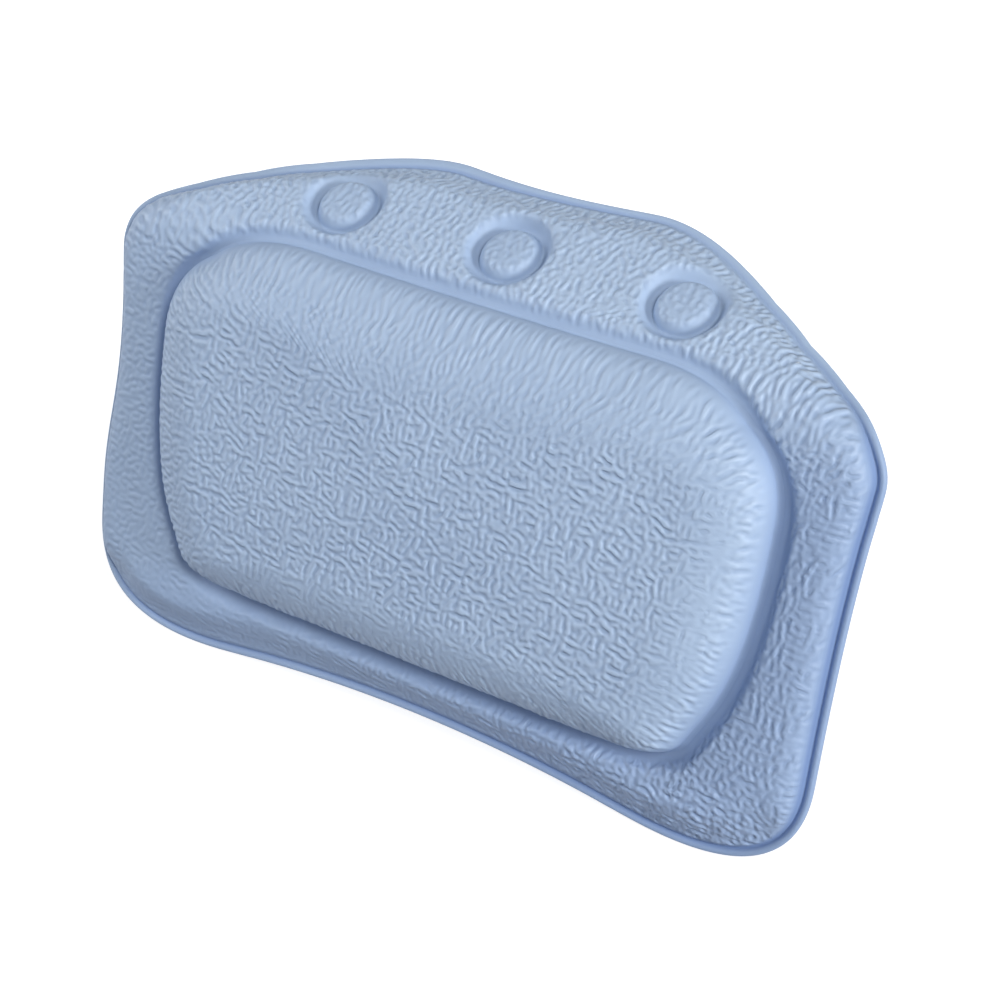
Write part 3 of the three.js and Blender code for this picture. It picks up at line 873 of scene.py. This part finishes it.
# Foam, clear of the skins: a block in the pad and a thin layer in the border
FOAM_GAP, FOAM_SIDE_GAP, FOAM_CROWN_GAP = 1.9, 2.2, 2.0
FOAM_PAD_FOOT, FOAM_WALL_START = 0.6, 0.005
FOAM_BORDER_LEAST, FOAM_BORDER_BACK, FOAM_CUP_RADIUS = 0.5, 0.15, 22
FOAM_PAST_FOOT, FOAM_STATIONS, FOAM_ROWS = 1.5, 280, 20


def foam_pad_top(p):
    up_wall = quarter(np.maximum(p.inside - p.inset - FOAM_CROWN_GAP, 0) / p.wall + FOAM_WALL_START)
    return FOAM_PAD_FOOT + (crown_rise(p) - FOAM_CROWN_GAP - FOAM_PAD_FOOT) * up_wall


def foam_border_top(p):
    over = np.maximum(front_rise(p) - FOAM_GAP, FOAM_BORDER_LEAST)
    return np.where(p.cup < FOAM_CUP_RADIUS, FOAM_BORDER_LEAST, over)


def foam_ring():
    """The border's foam on the plan, from inside the rim to just outside the pad."""
    sheet = Sheet()
    angle = stations(FOAM_STATIONS)
    outer = table(angle, edge_radius) - (table(angle, rim_width) + FOAM_SIDE_GAP) / table(angle, edge_cos)
    inner = table(angle, foot_radius) + FOAM_PAST_FOOT
    shares = [j / FOAM_ROWS for j in range(FOAM_ROWS + 1)]
    rows = [sheet.add(on_ray(angle, outer + (inner - outer) * share)) for share in shares]
    for outer_row, inner_row in zip(rows, rows[1:]):
        sheet.bridge(outer_row, inner_row)
    return sheet


pad_block = Sheet()
pad_sheet(pad_block, across=90, along=56, wall_steps=12, shrink=FOAM_SIDE_GAP)
foam_pad = closed("foam_pad", pad_block, foam_pad_top, lambda p: back_rise(p) + FOAM_GAP)
foam_border = closed(
    "foam_border", foam_ring(), foam_border_top, lambda p: np.full(len(p.x), FOAM_BORDER_BACK)
)
for piece, node in ((foam_pad, "pad_filling"), (foam_border, "border_padding")):
    piece.data.materials.append(foam_material)
    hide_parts(node)
    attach(piece, "pillow")

# Suction cups, turned about local Y, with heights from the weld plane as in the CAD
CUP_TURN = Matrix.Rotation(-LEAN, 4, "X")
HEAD_FRONT, HEAD_BACK, NECK, HEAD = -4.55, -1.95, 4.0, 5.5
HUB_FRONT, HUB_BACK, HUB = 1.85, 4.25, 8.5
CUP, LIP_BACK, LIP_INNER, HOLLOW_TOP = 22.0, SEAT - 0.9, 20.3, SEAT - 8.0
HEAD_ROUNDING, NECK_FILLET, HUB_FILLET, HUB_ROUNDING = 1.6, 0.3, 0.4, 0.5
LIP_BULGE, LIP_ROUNDING, LIP_FILLET, LIP_CHAMFER = 0.05, 0.35, 0.1, 0.15
BELL_BEND_SHARES, HOLLOW_SHARE = (0.35, 0.5), 0.55
CUP_SIDES, BELL_STEPS = 96, 22
TAB_HALF, TAB_REACH, TAB_THICKNESS, TAB_ABOVE_SEAT = 4.5, 24.5, 1.6, 0.3
TAB_ROOT, TAB_NECK, TAB_MIDDLE = 20.4, 22, 23.5
TAB_EDGE = ((0.35, 0), (0.08, 0.1), (0, 0.4))


def rounded(corner, before, after, steps):
    """A rounded corner of the profile, from a step before it to a step after it."""
    return list(curve(np.add(corner, before), corner, np.add(corner, after), steps + 1))


def cup_profile():
    """Radius and height, from the head's middle over neck, hub and bell to the lip, and up the hollow."""
    profile = [(0, HEAD_FRONT)]
    profile += rounded((HEAD, HEAD_FRONT), (-HEAD_ROUNDING, 0), (0, HEAD_ROUNDING), 5)
    profile += rounded((HEAD, HEAD_BACK), (0, -NECK_FILLET), (-NECK_FILLET, 0), 2)
    profile += rounded((NECK, HEAD_BACK), (NECK_FILLET, 0), (0, NECK_FILLET), 2)
    profile += rounded((NECK, HUB_FRONT), (0, -HUB_FILLET), (HUB_FILLET, 0), 2)
    profile += rounded((HUB, HUB_FRONT), (-HUB_ROUNDING, 0), (0, HUB_ROUNDING), 4)
    out, down = BELL_BEND_SHARES
    bend = (HUB + (CUP - HUB) * out, HUB_BACK + (LIP_BACK - HUB_BACK) * down)
    profile += list(curve((HUB, HUB_BACK), bend, (CUP, LIP_BACK), BELL_STEPS + 1))[:-1]
    lip = (CUP + LIP_BULGE, LIP_BACK)
    profile += rounded(lip, (-LIP_ROUNDING, -LIP_FILLET), (-LIP_BULGE, LIP_ROUNDING), 4)
    profile += [(CUP, SEAT - LIP_CHAMFER), (CUP - LIP_CHAMFER, SEAT)]
    hollow_bend = (LIP_INNER * HOLLOW_SHARE, HOLLOW_TOP)
    return profile + list(curve((LIP_INNER, SEAT), hollow_bend, (0, HOLLOW_TOP), BELL_STEPS + 1))


def lathe(profile, sides):
    """Points and faces of a profile turned about Y."""
    angles = np.arange(sides) * 2 * math.pi / sides
    points, faces, rings = [], [], []
    for radius, y in profile:
        start = len(points)
        if radius < TINY:
            points.append((0, y, 0))
            rings.append(np.full(sides, start))
        else:
            points.extend((radius * math.sin(a), y, radius * math.cos(a)) for a in angles)
            rings.append(np.arange(start, start + sides))
    for a, b in zip(rings, rings[1:]):
        quads = np.stack([a, np.roll(a, -1), np.roll(b, -1), b], 1)
        if a[0] == a[-1]:
            quads = quads[:, [0, 2, 3]]
        elif b[0] == b[-1]:
            quads = quads[:, [0, 1, 2]]
        faces.append(quads)
    return np.array(points), faces


def tab_mesh():
    """The pull tab: a rounded tongue with a soft edge."""
    turns = np.radians(range(-90, 91, 9))
    arc = [(TAB_HALF * math.sin(a), TAB_REACH + TAB_HALF * math.cos(a)) for a in turns]
    side = [(TAB_HALF, TAB_NECK), (TAB_HALF, TAB_ROOT)]
    shape = [*((-x, z) for x, z in reversed(side)), *arc, *side]
    layers = [*TAB_EDGE, *((inset, TAB_THICKNESS - y) for inset, y in reversed(TAB_EDGE))]
    points, rows = [], []
    for inset, y in layers:
        rows.append(np.arange(len(points), len(points) + len(shape)))
        for x, z in shape:
            away = np.array((x, z - TAB_MIDDLE))
            away *= 1 - inset / max(np.hypot(*away), 1)
            height = SEAT - TAB_ABOVE_SEAT - TAB_THICKNESS + y
            points.append((away[0], height, -(TAB_MIDDLE + away[1])))
    faces = [np.stack([a, np.roll(a, -1), np.roll(b, -1), b], 1) for a, b in zip(rows, rows[1:])]
    return np.array(points), [*faces, rows[0][None, ::-1], rows[-1][None]]


cup_points, cup_faces = lathe(cup_profile(), CUP_SIDES)
tab_points, tab_faces = tab_mesh()
for side, x in CUP_PLACES.items():
    points = np.vstack([cup_points, tab_points]) + (x, -SEAT, 0)
    points = np.array([CUP_TURN @ Vector(point) for point in points]) * MM
    cup = mesh_object(
        f"clear_cup_{side}", points, [*cup_faces, *(group + len(cup_points) for group in tab_faces)]
    )
    cup.data.materials.append(clear_vinyl)
    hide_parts(f"suction_cup_{side}")
    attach(cup, f"cup_{side}")
    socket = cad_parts[f"cup_socket_{side}"]
    socket.data.materials.clear()
    socket.data.materials.append(socket_vinyl)

# Floor and world: both show as white, but give the object little light
FLOOR_HALF, FLOOR_DROP = 4, 0.001
FLOOR_COLOUR, FLOOR_ROUGH = (0.32, 0.33, 0.36, 1), 0.9
# Distances in metres and the glow's strength there: weaker near the object, as painted shade round it
SHADED_GLOW_SPAN = (0.2, 0.9, 0.84, 1.0)
SKY_COLOUR, SKY_STRENGTH = (0.93, 0.96, 1.0, 1), 0.09


def plainly_seen(tree):
    """1 for what the camera sees directly, mirrored or through clear vinyl, and 0 for other light."""
    path = tree.nodes.new("ShaderNodeLightPath").outputs
    seen = math_node(tree, "ADD", path["Is Camera Ray"], path["Is Glossy Ray"])
    return math_node(tree, "ADD", seen, path["Is Transmission Ray"], clamp=True)


def floor_material():
    """A dull grey that takes the shadow, shown white by a glow that is a little weaker near the object,
    which paints a little shade round it.
    """
    material, tree, shader = new_material("floor_white")
    shader.inputs["Base Color"].default_value = FLOOR_COLOUR
    shader.inputs["Roughness"].default_value = FLOOR_ROUGH
    away = tree.nodes.new("ShaderNodeVectorMath")
    away.operation = "LENGTH"
    tree.links.new(tree.nodes.new("ShaderNodeNewGeometry").outputs["Position"], away.inputs[0])
    # Painted shade: the glow is weaker near the object
    level = map_node(tree, away.outputs["Value"], *SHADED_GLOW_SPAN)
    glow = tree.nodes.new("ShaderNodeEmission")
    tree.links.new(math_node(tree, "MULTIPLY", plainly_seen(tree), level), glow.inputs["Strength"])
    both = tree.nodes.new("ShaderNodeAddShader")
    surface = shader.outputs[0].links[0].to_socket
    tree.links.new(shader.outputs[0], both.inputs[0])
    tree.links.new(glow.outputs[0], both.inputs[1])
    tree.links.new(both.outputs[0], surface)
    return material


mesh = bpy.data.meshes.new("floor")
floor_z = cad_low.z - FLOOR_DROP
corners = [(x * FLOOR_HALF, y * FLOOR_HALF, floor_z) for x, y in ((-1, -1), (1, -1), (1, 1), (-1, 1))]
mesh.from_pydata(corners, [], [(0, 1, 2, 3)])
mesh.materials.append(floor_material())
floor = link(bpy.data.objects.new("floor", mesh))

world = bpy.data.worlds.new("studio")
bpy.context.scene.world = world
world.use_nodes = True
tree = world.node_tree
tree.nodes.clear()
soft, white = tree.nodes.new("ShaderNodeBackground"), tree.nodes.new("ShaderNodeBackground")
soft.inputs["Color"].default_value = SKY_COLOUR
soft.inputs["Strength"].default_value = SKY_STRENGTH
white.inputs["Color"].default_value = (1, 1, 1, 1)
mix = tree.nodes.new("ShaderNodeMixShader")
world_out = tree.nodes.new("ShaderNodeOutputWorld")
tree.links.new(plainly_seen(tree), mix.inputs[0])
tree.links.new(soft.outputs[0], mix.inputs[1])
tree.links.new(white.outputs[0], mix.inputs[2])
tree.links.new(mix.outputs[0], world_out.inputs[0])

# Lamps and camera, all aimed at one point of the pillow
TARGET = Vector((0.01914, -0.02979, -0.06539))
LAMP_DISTANCE = 3
WARM, WHITE = (1, 0.99, 0.96), (1, 1, 1)


def lamp(name, direction, size, watts, colour):
    data = bpy.data.lights.new(name, "AREA")
    data.shape = "DISK"
    data.size = size
    data.energy = watts
    data.color = colour
    made = link(bpy.data.objects.new(name, data))
    away = Vector(direction).normalized()
    made.location = TARGET + away * LAMP_DISTANCE
    made.rotation_mode = "QUATERNION"
    made.rotation_quaternion = away.to_track_quat("Z", "Y")


lamp("key", (0.62, -0.64, 0.53), 0.9, 43, WARM)
lamp("right", (0.95, -0.25, 0.22), 0.9, 56, WARM)
lamp("left", (-0.85, -0.38, 0.38), 1.8, 42, WHITE)
lamp("behind", (-0.25, 0.95, 0.12), 1.0, 36, WHITE)

CAMERA_TURN, CAMERA_DOWN, CAMERA_ROLL = math.radians(29.21), math.radians(19.79), math.radians(8.91)
CAMERA_DISTANCE, LENS, SENSOR, CLIP = 0.88835, 89.27, 36, (0.05, 50)
level_share = math.cos(CAMERA_DOWN)
back_way = Vector((
    math.sin(CAMERA_TURN) * level_share, -math.cos(CAMERA_TURN) * level_share, math.sin(CAMERA_DOWN)
))
right_way = Vector((0, 0, 1)).cross(back_way).normalized()
up_way = back_way.cross(right_way)
right_rolled = right_way * math.cos(CAMERA_ROLL) + up_way * math.sin(CAMERA_ROLL)
up_rolled = up_way * math.cos(CAMERA_ROLL) - right_way * math.sin(CAMERA_ROLL)
data = bpy.data.cameras.new("camera")
data.sensor_width = SENSOR
data.lens = LENS
data.clip_start, data.clip_end = CLIP
camera = link(bpy.data.objects.new("camera", data))
turned = Matrix((right_rolled, up_rolled, back_way)).transposed()
camera.matrix_world = Matrix.Translation(TARGET + back_way * CAMERA_DISTANCE) @ turned.to_4x4()
bpy.context.scene.camera = camera
bpy.context.scene.view_settings.view_transform = "Standard"
